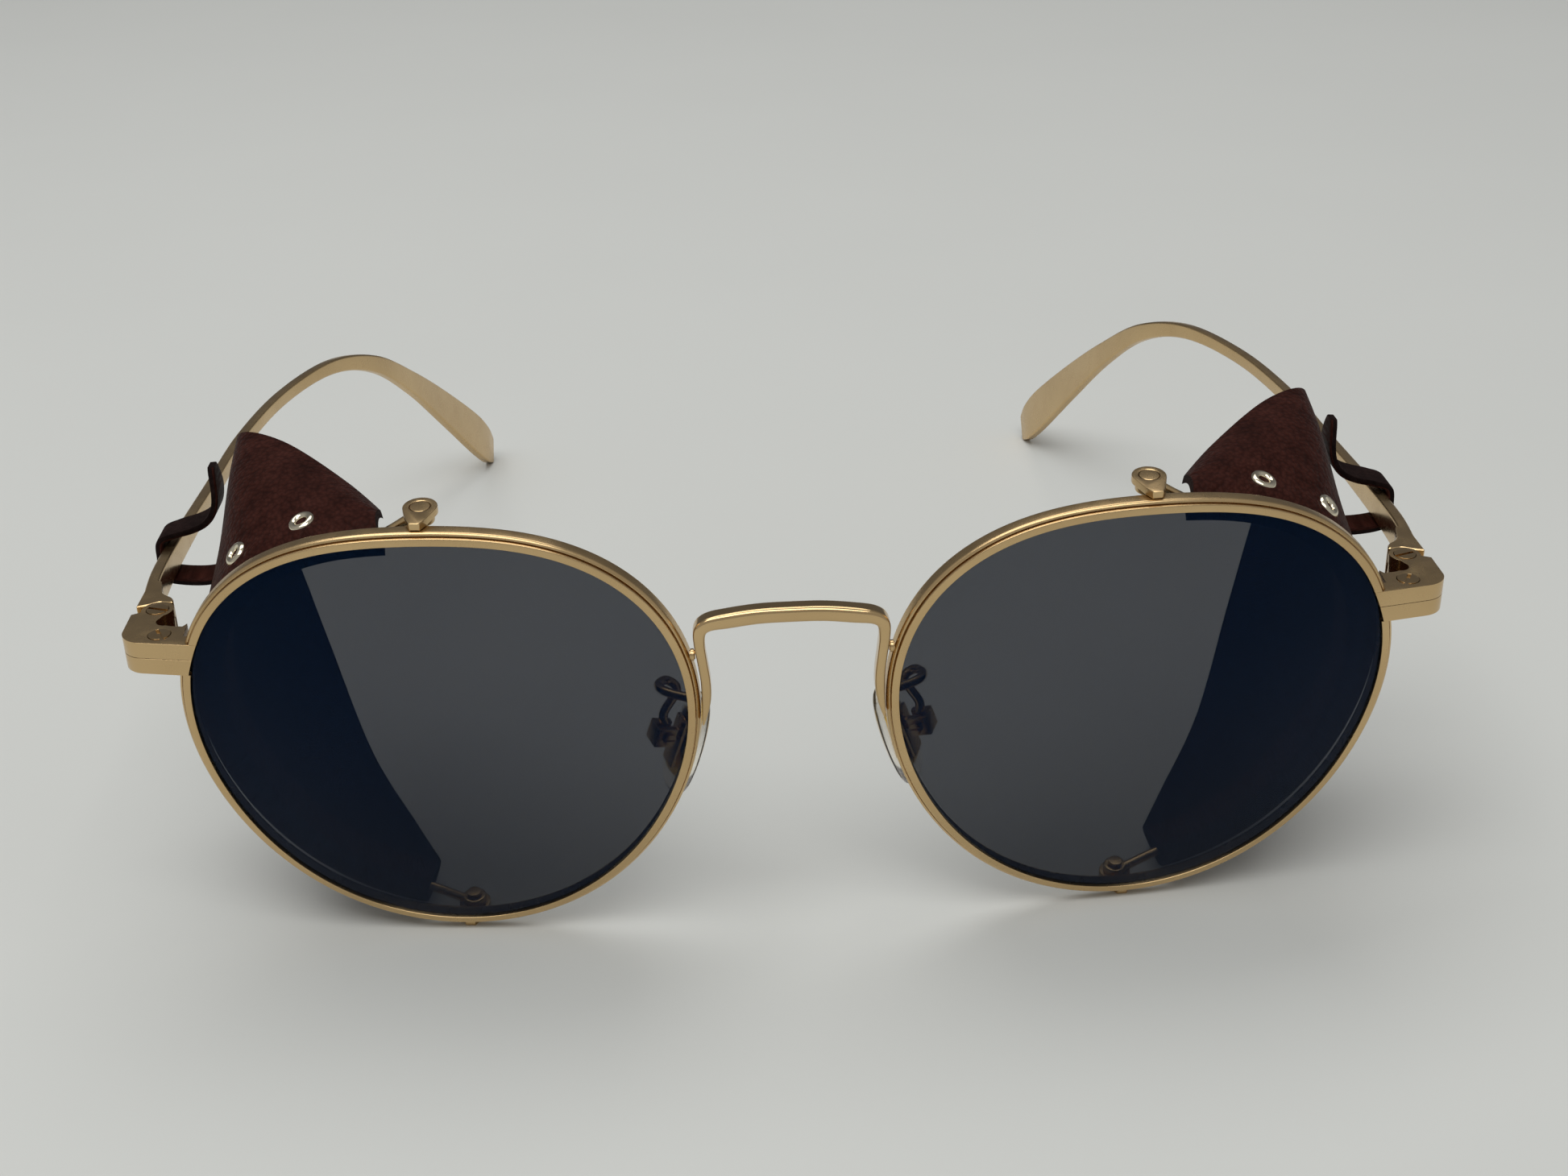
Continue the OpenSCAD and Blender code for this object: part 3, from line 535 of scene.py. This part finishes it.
def makeTemple(sideName, side):
    spots = templeSpots()
    count = temple["steps"] * (len(spots) - 1)
    p = [curveAt(spots, i / temple["steps"]) for i in range(count + 1)]
    half = temple["thick"] / 2
    rings = []
    for i, (x, y, z, h) in enumerate(p):
        a, b = p[max(i - 4, 0)], p[min(i + 4, count)]
        t = Vector((b[1] - a[1], b[2] - a[2])).normalized()
        thin = half * (1 if i < count - 6 else 0.55 + 0.45 * (count - i) / 6)
        edge = min(temple["edge"], h * 0.6)
        section = roundedOutline([(thin, h, edge), (thin, -h, edge), (-thin, -h, edge), (-thin, h, edge)], 4)
        rings.append([(x + q, y - t.y * w, z + t.x * w) for q, w in section])
    obj = newObject(f"templeBar_{sideName}", loft(rings), side, 50)
    obj.data.materials.append(satinGold)
    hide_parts(f"temple_{sideName}")
    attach(obj, f"temple_{sideName}")

    hx, hy, hz = hinge["x"], hinge["y"], hinge["z"]
    tall = front["hingeH"] / 2 - 0.05
    heel = [
        (outerX, hy + 0.9, 0.1), (outerX, hy + 3, 0.5), (outerX - 0.08, hy + 7, 0.3),
        (outerX - temple["thick"], hy + 6.6, 0.3), (hx + 0.35, hy + 3.6, 1.0),
        (hx - 1, hy + 2.5, 0.5), (hx - 1.2, hy + 1.6, 0.3), (hx + 0.2, hy + 1.78, 0.3),
        (hx + 1.3, hy + 1.2, 0.3),
    ]
    outline = roundedOutline(heel, 4)
    levels = [(-tall, -0.12), (-tall + 0.12, 0), (tall - 0.12, 0), (tall, -0.12)]
    middle = Vector((sum(q[0] for q in outline) / len(outline), sum(q[1] for q in outline) / len(outline)))
    rings = []
    for height, inset in levels:
        ring = []
        for q in outline:
            away = (Vector(q) - middle).normalized() * inset
            ring.append((q[0] + away.x, q[1] + away.y, hz + height))
        rings.append(ring)
    heelObj = newObject(f"templeHeel_{sideName}", loft(rings), side, 30)
    heelObj.data.materials.append(satinGold)
    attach(heelObj, f"temple_{sideName}")

    barrelR, pinR, barrelH = 1.5, 0.74, 0.64
    bm = lathe(None, (hx, hy, hz), (0, 0, 1), roundedOutline([
        (pinR, -barrelH, 0.05), (barrelR, -barrelH, 0.12),
        (barrelR, barrelH, 0.12), (pinR, barrelH, 0.05)], 3), 48)
    tongue = [(-0.7, -barrelH), (1.2, -barrelH), (1.2, barrelH), (-0.7, barrelH)]
    loft([[(hx + x, hy + y, hz + z) for x, z in tongue] for y in (1.45, 2.2)], bm=bm)
    barrel = newObject(f"templeBarrel_{sideName}", bm, side, 30)
    barrel.data.materials.append(satinGold)
    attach(barrel, f"temple_{sideName}")


for sideName, side in sides.items():
    makeTemple(sideName, side)
print("temples made")

# Small turned and cut fittings keep the solid's shape, with worn, rounded edges

fittings = {
    "end_piece_upper": ("front", 0.16), "end_piece_lower": ("front", 0.16),
    "top_lug": ("front", 0.13), "bottom_lug": ("front", 0.1),
    "closing_screw": ("front", 0.06), "hinge_screw": ("front", 0.06),
    "shield_pins": ("front", 0.08), "pad_box": ("front", 0.1),
    "pad_screw": ("front", 0.05), "pad_insert": ("pad", 0.06),
}


def fineCopy(node, body, width, material):
    bm = bmesh.new()
    bm.from_mesh(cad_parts[node].data)
    bmesh.ops.remove_doubles(bm, verts=bm.verts, dist=1e-6)
    bmesh.ops.dissolve_limit(bm, angle_limit=math.radians(2), verts=bm.verts, edges=bm.edges)
    sharp = [e for e in bm.edges if len(e.link_faces) == 2 and e.calc_face_angle(0) > math.radians(35)]
    bmesh.ops.bevel(bm, geom=sharp, offset=width * mm, segments=3, profile=0.6,
                    affect="EDGES", clamp_overlap=True)
    obj = newObject(f"{node}Fine", bm, 1, 32)
    obj.data.materials.append(material)
    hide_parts(node)
    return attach(obj, body)


for sideName, side in sides.items():
    for part, (body, width) in fittings.items():
        riding = body if body == "front" else f"pad_{sideName}"
        fineCopy(f"{part}_{sideName}", riding, width, polishedGold if "screw" in part else satinGold)
fineCopy("bridge_struts", "front", 0.08, satinGold)
print("fittings made")

# Side shields: wire ring, folded leather, eyelets and strap

shield = {
    "wire": 0.5, "leather": 0.9, "gap": 0.4, "fold": 4.4, "lensEdge": 0.5, "eyeletCount": 8,
    "rearEdge": [
        (2.6, 6.9, 21.1), (8.1, 14.5, 22.4), (16.2, 24.7, 22.9), (22.3, 31.3, 21.1), (22.4, 34, 14.7),
        (20.5, 35.4, 7.6), (17.2, 32.8, -4.6), (12.2, 25, -15.4), (6.5, 17.8, -21.2), (2.6, 12.2, -23.6),
    ],
    "edgeAngles": [84, 71, 56, 44, 33, 20, -8, -38, -64, -84],
    "ends": (0.40, 8.65),
}
foldGap = 2 * shield["wire"] + 0.2
foldThick = 2 * shield["leather"] + foldGap


def edgeSpot(k):
    e = curveAt(shield["rearEdge"], k)
    return Vector((front["lensX"] + e[0], e[1] - front["middleY"], front["lensZ"] + e[2]))


def edgeAngle(k):
    return curveAt([(a,) for a in shield["edgeAngles"]], k)[0]


def skinSpot(k, d, n):
    a = edgeAngle(k)
    near = onRim(a, shield["lensEdge"], front["depth"] + shield["gap"])
    rear = edgeSpot(k)
    s = d / (rear - near).length
    bulge = 0.9 * math.sin(math.pi * min(max(s, 0), 1))
    turnOnly = math.radians(front["wrap"])
    c = math.cos(math.radians(a))
    flat = Vector((-c * math.cos(turnOnly), -c * math.sin(turnOnly), -math.sin(math.radians(a))))
    return near + (rear - near) * s + flat * (n - bulge)


def edgeLength(k):
    return (edgeSpot(k) - onRim(edgeAngle(k), shield["lensEdge"], front["depth"] + shield["gap"])).length


def makeLeather3d(sideName, side):
    k0, k1 = shield["ends"]
    count, outerSteps, fleshSteps = 150, 24, 22
    thick = shield["leather"]
    rings = []
    lengths = []
    along = 0
    last = None
    for i in range(count + 1):
        k = k0 + (k1 - k0) * i / count
        full = edgeLength(k)
        here = skinSpot(k, full * 0.4, 0)
        along += (here - last).length if last else 0
        last = here
        lengths.append((along, full))
        ring = []
        # outer face from the front fold to the rear edge
        for s in range(outerSteps + 1):
            d = 0.35 + (full - 0.45) * s / outerSteps
            ridge = 0.16 * math.exp(-((d - 1.6) / 1.0) ** 2)
            ridge -= 0.10 * math.exp(-((d - shield["fold"] + 0.2) / 0.35) ** 2)
            ring.append(skinSpot(k, d, -ridge))
        # rear edge, rounded
        for t in (0.12, 0.5, 0.88):
            ring.append(skinSpot(k, full - 0.1 + 0.12 * math.sin(math.pi * t), thick * t))
        # inner face back to the fold
        for s in range(10, -1, -1):
            d = shield["fold"] * 0.55 + (full - 0.1 - shield["fold"] * 0.55) * s / 10
            ring.append(skinSpot(k, max(d, 1.35), thick))
        # hollow of the fold, with the wire in it
        hollow = (
            (1.35, thick), (1.0, thick + 0.2), (0.9, thick + foldGap / 2),
            (1.0, thick + foldGap - 0.2), (1.35, thick + foldGap),
        )
        for d, n in hollow:
            ring.append(skinSpot(k, d, n))
        ring.append(skinSpot(k, shield["fold"] * 0.6, thick + foldGap))
        ring.append(skinSpot(k, shield["fold"], thick + foldGap))
        ring.append(skinSpot(k, shield["fold"] + 0.06, thick + foldGap + 0.45))
        ring.append(skinSpot(k, shield["fold"], foldThick))
        ring.append(skinSpot(k, shield["fold"] * 0.5, foldThick))
        for t in range(0, 9):
            a = math.pi * t / 8
            ring.append(skinSpot(k, 0.55 - 0.55 * math.sin(a), foldThick / 2 + foldThick / 2 * math.cos(a)))
        rings.append(ring)

    n = len(rings[0])
    print(f"leather {sideName}: {along:.1f} x {max(full for _, full in lengths):.1f} mm laid flat")

    # running length round each ring, so the grain isn't stretched
    around = []
    for ring in rings:
        row = [0]
        for q in range(n):
            row.append(row[-1] + (ring[(q + 1) % n] - ring[q]).length)
        around.append(row)

    bm = loft(rings, uvs=lambda i, j: (lengths[i][0] * mm, around[i][j] * mm))
    obj = newObject(f"shieldLeather_{sideName}", bm, side, 60)
    obj.data.materials.append(leatherMaterial)
    obj.data.materials.append(suedeShadeMaterial)
    for index, face in enumerate(obj.data.polygons):
        # from the rear edge on, and at both ends, the flesh side shows; its near-black suede is partly
        # painted shade
        j = index % n if index < count * n else -1
        if outerSteps <= j < outerSteps + fleshSteps or j < 0:
            face.material_index = 1
    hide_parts(f"shield_leather_{sideName}")
    return obj


def foldMiddle(k):
    return skinSpot(k, shield["leather"] + foldGap * 0.65, shield["leather"] + foldGap / 2)


def makeRing(sideName, side):
    topV = openingRadius(90) + front["wall"]
    bottomV = openingRadius(-90) + front["wall"]
    ringW = front["depth"] + shield["gap"] + shield["leather"] + shield["wire"] + 0.1
    eyeT, eyeR = 0.8, 1.25
    topEye = topV + 0.05 - 0.08 - eyeT / 2
    bottomEye = -(bottomV + 0.05 - 0.08 - eyeT / 2)
    path = [place(1.08, topEye, ringW)]
    path += [foldMiddle(0.35 + (8.7 - 0.35) * i / 27) for i in range(28)]
    path += [place(1.08, bottomEye, ringW)]
    fine = [curveAt([tuple(p) for p in path], i / 5) for i in range(5 * (len(path) - 1) + 1)]
    bm = loft(wireRings(fine, shield["wire"], 18))
    axis = turnAndLean((0, 0, 1))
    for v, lug in ((topEye, topV), (bottomEye, -bottomV)):
        w = ringW + sag(0, lug) - sag(0, v)
        lathe(bm, place(0, v, w), axis, roundedOutline([
            (0.59, -eyeT / 2, 0.06), (eyeR, -eyeT / 2, 0.2),
            (eyeR, eyeT / 2, 0.2), (0.59, eyeT / 2, 0.06)], 4), 44)
    obj = newObject(f"shieldWire_{sideName}", bm, side, 40)
    obj.data.materials.append(satinGold)
    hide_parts(f"shield_ring_{sideName}")
    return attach(obj, "front")


eyelet = {"from": 62, "to": -64, "back": 3.1, "flange": 1.32, "hole": 0.52, "dome": 0.34}


def stationAt(a):
    lo, hi = 0.0, 9.0
    for _ in range(24):
        mid = (lo + hi) / 2
        if edgeAngle(mid) > a:
            lo = mid
        else:
            hi = mid
    return lo


def makeEyelets(sideName, side):
    bm = bmesh.new()
    hole, flange, dome = eyelet["hole"], eyelet["flange"], eyelet["dome"]
    outline = [
        (flange, 0.0), (flange - 0.02, 0.08), (flange * 0.88, dome * 0.72), (flange * 0.72, dome),
        (flange * 0.58, dome * 0.9), (hole + 0.06, dome * 0.45), (hole, 0.05), (hole - 0.02, -0.6),
        (hole + 0.1, -0.6), (flange * 0.9, -0.05),
    ]
    for i in range(shield["eyeletCount"]):
        k = stationAt(eyelet["from"] + (eyelet["to"] - eyelet["from"]) * i / (shield["eyeletCount"] - 1))
        b = eyelet["back"]
        spot = skinSpot(k, b, 0)
        along = (skinSpot(k + 0.02, b, 0) - skinSpot(k - 0.02, b, 0)).normalized()
        back = (skinSpot(k, b + 0.4, 0) - skinSpot(k, b - 0.4, 0)).normalized()
        out = along.cross(back).normalized()
        if out.dot(spot - skinSpot(k, b, 1)) < 0:
            out = -out
        lathe(bm, spot, out, outline, 32)
    obj = newObject(f"shieldEyelets_{sideName}", bm, side, 45)
    obj.data.materials.append(paleBrass)
    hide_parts(f"shield_eyelets_{sideName}")
    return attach(obj, "front")


for sideName, side in sides.items():
    leather = makeLeather3d(sideName, side)
    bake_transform(leather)
    makeRing(sideName, side)
    makeEyelets(sideName, side)
print("shields made")

strap = {
    "back": 16.5, "width": 4.0, "thick": 0.7, "clear": 0.16, "bow": 0.6, "barHalf": 1.52,
    "slant": 5.0, "lean": -1.6, "cup": 0.10,
}


def makeStrap(sideName, side):
    beside = temple["thick"] / 2 + strap["clear"] + strap["thick"] / 2
    above = strap["barHalf"] + strap["clear"] + strap["thick"] / 2
    path = [
        (-7.4, -0.8), (-6.2, -1.4), (-3.6, -above - 0.1), (-0.4, -above - 0.05),
        (beside - 0.1, -above + 0.4), (beside, 0),
        (beside - 0.1, above - 0.4), (-0.4, above + 0.05), (-2.3, above + 0.35),
        (-3.7, above + 0.9), (-4.6, above + 2.1),
        (-4.9, above + 4), (-4.7, above + 6.6),
    ]
    steps = 8
    count = steps * (len(path) - 1)
    p = [curveAt(path, i / steps) for i in range(count + 1)]
    baseX = outerX - temple["thick"] / 2 - 0.05 + strap["bow"]
    rings = []
    lengths = [0]
    for i, (x, z) in enumerate(p):
        a, b = p[max(i - 1, 0)], p[min(i + 1, count)]
        t = Vector((b[0] - a[0], b[1] - a[1])).normalized()
        s = Vector((-t.y, t.x))
        if i:
            lengths.append(lengths[-1] + math.dist(p[i], p[i - 1]))
        share = i / count
        half = strap["width"] / 2 * (0.93 + 0.07 * math.cos(share * 9))
        if share > 0.9:
            half *= 1 - 0.55 * ((share - 0.9) / 0.1) ** 2
        shift = strap["lean"] + strap["slant"] * (3 * share ** 2 - 2 * share ** 3)
        section = roundedOutline([(half, strap["thick"] / 2, 0.22), (-half, strap["thick"] / 2, 0.22),
                                  (-half, -strap["thick"] / 2, 0.12), (half, -strap["thick"] / 2, 0.12)], 3)
        rings.append([
            (baseX + x + s.x * (n - strap["cup"] * (q / half) ** 2 * 0.5),
             hinge["y"] + strap["back"] + q + shift,
             hinge["z"] + z + s.y * (n - strap["cup"] * (q / half) ** 2 * 0.5))
            for q, n in section
        ])
    n = len(rings[0])
    bm = loft(rings, uvs=lambda i, j: (lengths[min(i, count)] * mm, j * 0.6 * mm))
    print(f"strap {sideName}: {lengths[-1]:.1f} x {strap['width']:.1f} mm laid flat")
    obj = newObject(f"shieldStrap_{sideName}", bm, side, 50)
    obj.data.materials.append(leatherMaterial)
    obj.data.materials.append(suedeShadeMaterial)
    for index, face in enumerate(obj.data.polygons):
        # one flat face, its rounded edges and both cut ends show the flesh side; its near-black suede is
        # partly painted shade
        j = index % n
        if 7 <= j < 15 or index >= count * n:
            face.material_index = 1
    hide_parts(f"shield_strap_{sideName}")
    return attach(obj, f"temple_{sideName}")


for sideName, side in sides.items():
    makeStrap(sideName, side)
print("straps made")

# Nose pads and their arms

pad = {
    "middle": (10.8, 7.4 - front["middleY"], front["lensZ"] - 5), "splay": 24, "slope": 19.5,
    "length": 11.5, "width": 5.8, "thick": 2.3, "box": (2.9, 0, 1.1),
    "core": (1.6, 3.6, 0.26), "corner": 0.9, "armR": 0.48,
}


def padPoint(p):
    a, b = math.radians(pad["splay"]), math.radians(pad["slope"])
    x, y = p[0] * math.cos(a) + p[1] * math.sin(a), p[1] * math.cos(a) - p[0] * math.sin(a)
    turned = Vector((x * math.cos(b) - p[2] * math.sin(b), y, x * math.sin(b) + p[2] * math.cos(b)))
    return Vector(pad["middle"]) + turned


def makePad(sideName, side):
    rings = []
    for i in range(33):
        t = math.radians(-89 + 178 * i / 32)
        height, c = math.sin(t) * pad["length"] / 2, math.cos(t) ** 0.6
        ring = []
        for j in range(48):
            b = 2 * math.pi * j / 48
            thick = c * math.cos(b) * pad["thick"] / 2
            wide = c * math.sin(b) * pad["width"] / 2 * (1 - 0.12 * math.sin(t))
            ring.append(padPoint((thick, wide, height)))
        rings.append(ring)
    obj = newObject(f"padSilicone_{sideName}", loft(rings), side, 80)
    obj.data.materials.append(padMaterial)
    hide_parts(f"nose_pad_{sideName}")
    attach(obj, f"pad_{sideName}")

    half, tall, thin = pad["core"]
    corner = pad["corner"]
    plate = roundedOutline([
        (half, tall, corner), (-half, tall, corner), (-half, -tall, corner), (half, -tall, corner)], 5)
    layers = ((-thin, 0.96), (-thin * 0.6, 1), (thin * 0.6, 1), (thin, 0.96))
    core = newObject(f"padCore_{sideName}", loft([
        [padPoint((x + 0.25, q * share, h * share)) for q, h in plate] for x, share in layers
    ]), side, 40)
    core.data.materials.append(warmBrass)
    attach(core, f"pad_{sideName}")

    start = onRim(174.5, 0.55, front["depth"] + 0.16)
    boxTop = padPoint((pad["box"][0] + 0.3, 0, pad["box"][2] + 1.17))
    z, y = front["lensZ"], -front["middleY"]
    path = [
        start, start + Vector((0.15, 0.6, 0)), (11.6, y + 4, z + 2.6), (12.9, y + 5.1, z + 2.6),
        (13.2, y + 6.5, z + 2.5), (12.4, y + 7.6, z + 2.2), (11.5, y + 7.4, z + 1.2),
        boxTop + Vector((0.1, 0.25, 1.1)), boxTop,
    ]
    fine = [curveAt([tuple(q) for q in path], i / 10) for i in range(10 * (len(path) - 1) + 1)]
    arm = newObject(f"padArm_{sideName}Fine", loft(wireRings(fine, pad["armR"], 16)), side, 50)
    arm.data.materials.append(satinGold)
    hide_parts(f"pad_arm_{sideName}")
    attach(arm, "front")


for sideName, side in sides.items():
    makePad(sideName, side)
print("nose pads made")

# Floor, light and camera

studio = {
    "floor": (0.66, 0.67, 0.64, 1),
    "worldBack": (0.21, 0.21, 0.22, 1), "worldFront": (0.62, 0.62, 0.62, 1), "worldPower": 0.6,
    "topPower": 3.4, "frontPower": 5.2,
}


def makeFloor():
    bm = bmesh.new()
    bmesh.ops.create_grid(bm, x_segments=8, y_segments=8, size=2.2)
    obj = newObject("studioFloor", bm)
    mat, nodes, links, shader = newMaterial("paleCard")
    place3d = nodes.new("ShaderNodeTexCoord").outputs["Object"]
    cloud = addNoise(nodes, links, place3d, 14, 3)
    low = tuple(c * 0.985 for c in studio["floor"][:3]) + (1,)
    tone = addRamp(nodes, links, cloud, [(0.3, low), (0.7, studio["floor"])])
    links.new(tone, shader.inputs["Base Color"])
    shader.inputs["Roughness"].default_value = 0.7
    shader.inputs["Specular IOR Level"].default_value = 0.2
    grain = addNoise(nodes, links, place3d, 3000, 3)
    links.new(addBump(nodes, links, grain, 0.05, 0.00005), shader.inputs["Normal"])
    obj.data.materials.append(mat)


def makeWorld():
    world = bpy.data.worlds.new("studioWorld")
    world.use_nodes = True
    bpy.context.scene.world = world
    nodes, links = world.node_tree.nodes, world.node_tree.links
    split = nodes.new("ShaderNodeSeparateXYZ")
    links.new(nodes.new("ShaderNodeTexCoord").outputs["Generated"], split.inputs["Vector"])
    shift = nodes.new("ShaderNodeMath")
    shift.operation = "MULTIPLY_ADD"
    shift.inputs[1].default_value = -0.5
    shift.inputs[2].default_value = 0.5
    links.new(split.outputs["Y"], shift.inputs[0])
    stops = [(0.1, studio["worldBack"]), (0.6, studio["worldFront"])]
    colour = addRamp(nodes, links, shift.outputs["Value"], stops)
    links.new(colour, nodes["Background"].inputs["Color"])
    nodes["Background"].inputs["Strength"].default_value = studio["worldPower"]


def makeArea(name, location, target, width, height, power, colour=(1, 1, 1)):
    data = bpy.data.lights.new(name, "AREA")
    data.shape = "RECTANGLE"
    data.size, data.size_y = width, height
    data.energy = power
    data.color = colour
    obj = bpy.data.objects.new(name, data)
    obj.location = location
    obj.rotation_euler = (Vector(target) - Vector(location)).to_track_quat("-Z", "Y").to_euler()
    bpy.context.scene.collection.objects.link(obj)


camera = {"place": (-5.794, -235.537, 128.638), "turn": (62.87, 1.557, -2.540), "lens": 46.67}


def makeCamera():
    data = bpy.data.cameras.new("mainCamera")
    data.lens = camera["lens"]
    data.sensor_width = 36
    data.clip_start = 0.01
    obj = bpy.data.objects.new("mainCamera", data)
    obj.location = Vector(camera["place"]) * mm
    obj.rotation_euler = [math.radians(a) for a in camera["turn"]]
    bpy.context.scene.collection.objects.link(obj)
    bpy.context.scene.camera = obj


makeFloor()
makeWorld()
makeArea("topSoftbox", (-0.1, 0.30, 0.95), (0, 0, 0.02), 1.0, 0.5, studio["topPower"])
makeArea("frontSoftbox", (-0.15, -0.50, 0.95), (0, -0.1, 0.02), 1.1, 0.5, studio["frontPower"])
makeCamera()
bpy.context.scene.view_settings.view_transform = "Standard"
print("studio made")
